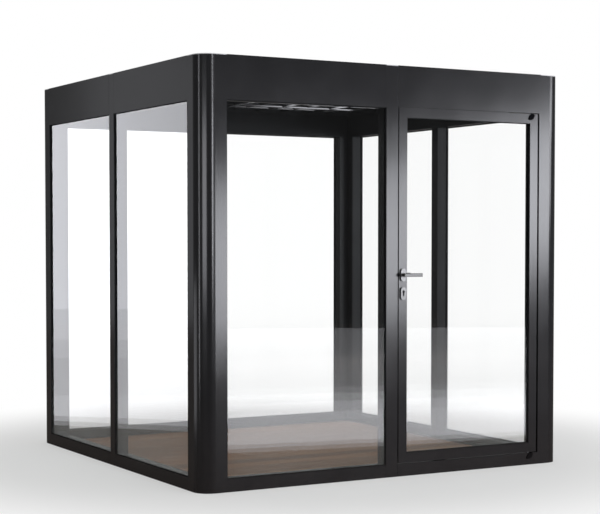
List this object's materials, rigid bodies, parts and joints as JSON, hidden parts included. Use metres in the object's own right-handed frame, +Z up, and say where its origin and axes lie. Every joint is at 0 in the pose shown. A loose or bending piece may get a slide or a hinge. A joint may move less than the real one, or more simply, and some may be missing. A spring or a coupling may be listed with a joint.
{
  "type": "glass greenhouse",
  "caption": "Cube-shaped glass greenhouse with rounded dark aluminium corner posts, a deep fascia, a flat glass roof and a glazed door with a lever handle.",
  "frame": {"origin": "on the ground at the middle of the plan, at the underside of the floor", "axes": "+Z up, -Y out of the door, +X to the right as seen from in front of the door"},
  "size_m": [2.38, 2.425, 2.3],
  "materials": {
    "anthracite_aluminium": "satin anthracite powder coat",
    "clear_glass": "clear toughened glass",
    "black_rubber": "black glazing gasket",
    "dark_metal": "satin dark grey",
    "black_plastic": "matt black",
    "floor_boards": "oiled, warm brown"
  },
  "bodies": {
    "frame": {"copings": "anthracite_aluminium", "corner_post_back_left": "anthracite_aluminium", "corner_post_back_right": "anthracite_aluminium", "corner_post_front_left": "anthracite_aluminium", "corner_post_front_right": "anthracite_aluminium", "door_post": "anthracite_aluminium", "door_stop": "anthracite_aluminium", "fascia_back": "anthracite_aluminium", "fascia_front": "anthracite_aluminium", "fascia_left": "anthracite_aluminium", "fascia_right": "anthracite_aluminium", "floor": "floor_boards", "glass_back": "clear_glass", "glass_front": "clear_glass", "glass_left": "clear_glass", "glass_right": "clear_glass", "glazing_gaskets": "black_rubber", "hinge_jamb": "anthracite_aluminium", "lock_keep": "dark_metal", "mid_post_back": "anthracite_aluminium", "mid_post_left": "anthracite_aluminium", "mid_post_right": "anthracite_aluminium", "pivot_cover_bottom": "black_plastic", "pivot_pins": "dark_metal", "post_caps": "anthracite_aluminium", "roof_bars": "anthracite_aluminium", "roof_cross_bars": "anthracite_aluminium", "roof_glass": "clear_glass", "roof_ledge": "anthracite_aluminium", "sill_back": "anthracite_aluminium", "sill_front": "anthracite_aluminium", "sill_left": "anthracite_aluminium", "sill_right": "anthracite_aluminium", "threshold": "anthracite_aluminium"},
    "door": {"door_stiles": "anthracite_aluminium", "door_rails": "anthracite_aluminium", "door_glass": "clear_glass", "door_gasket": "black_rubber", "pivot_sockets": "black_plastic", "pivot_cover_top": "black_plastic", "handle_plates_outside": "dark_metal", "handle_plates_inside": "dark_metal", "lock_faceplate": "dark_metal"},
    "handle": {"lever_outside": "dark_metal", "lever_inside": "dark_metal"}
  },
  "joints": [
    {"name": "door_hinge", "type": "hinge", "parent": "frame", "child": "door", "pos_m": [0.967, -1.1675, 1.071], "axis": [0, 0, 1], "range_deg": [0, 105]},
    {"name": "lever_handle", "type": "hinge", "parent": "door", "child": "handle", "pos_m": [0.0665, -1.19, 1.133], "axis": [0, 1, 0], "range_deg": [0, 40], "stiffness_Nm_per_rad": 1.5, "springref_deg": -28.65}
  ]
}
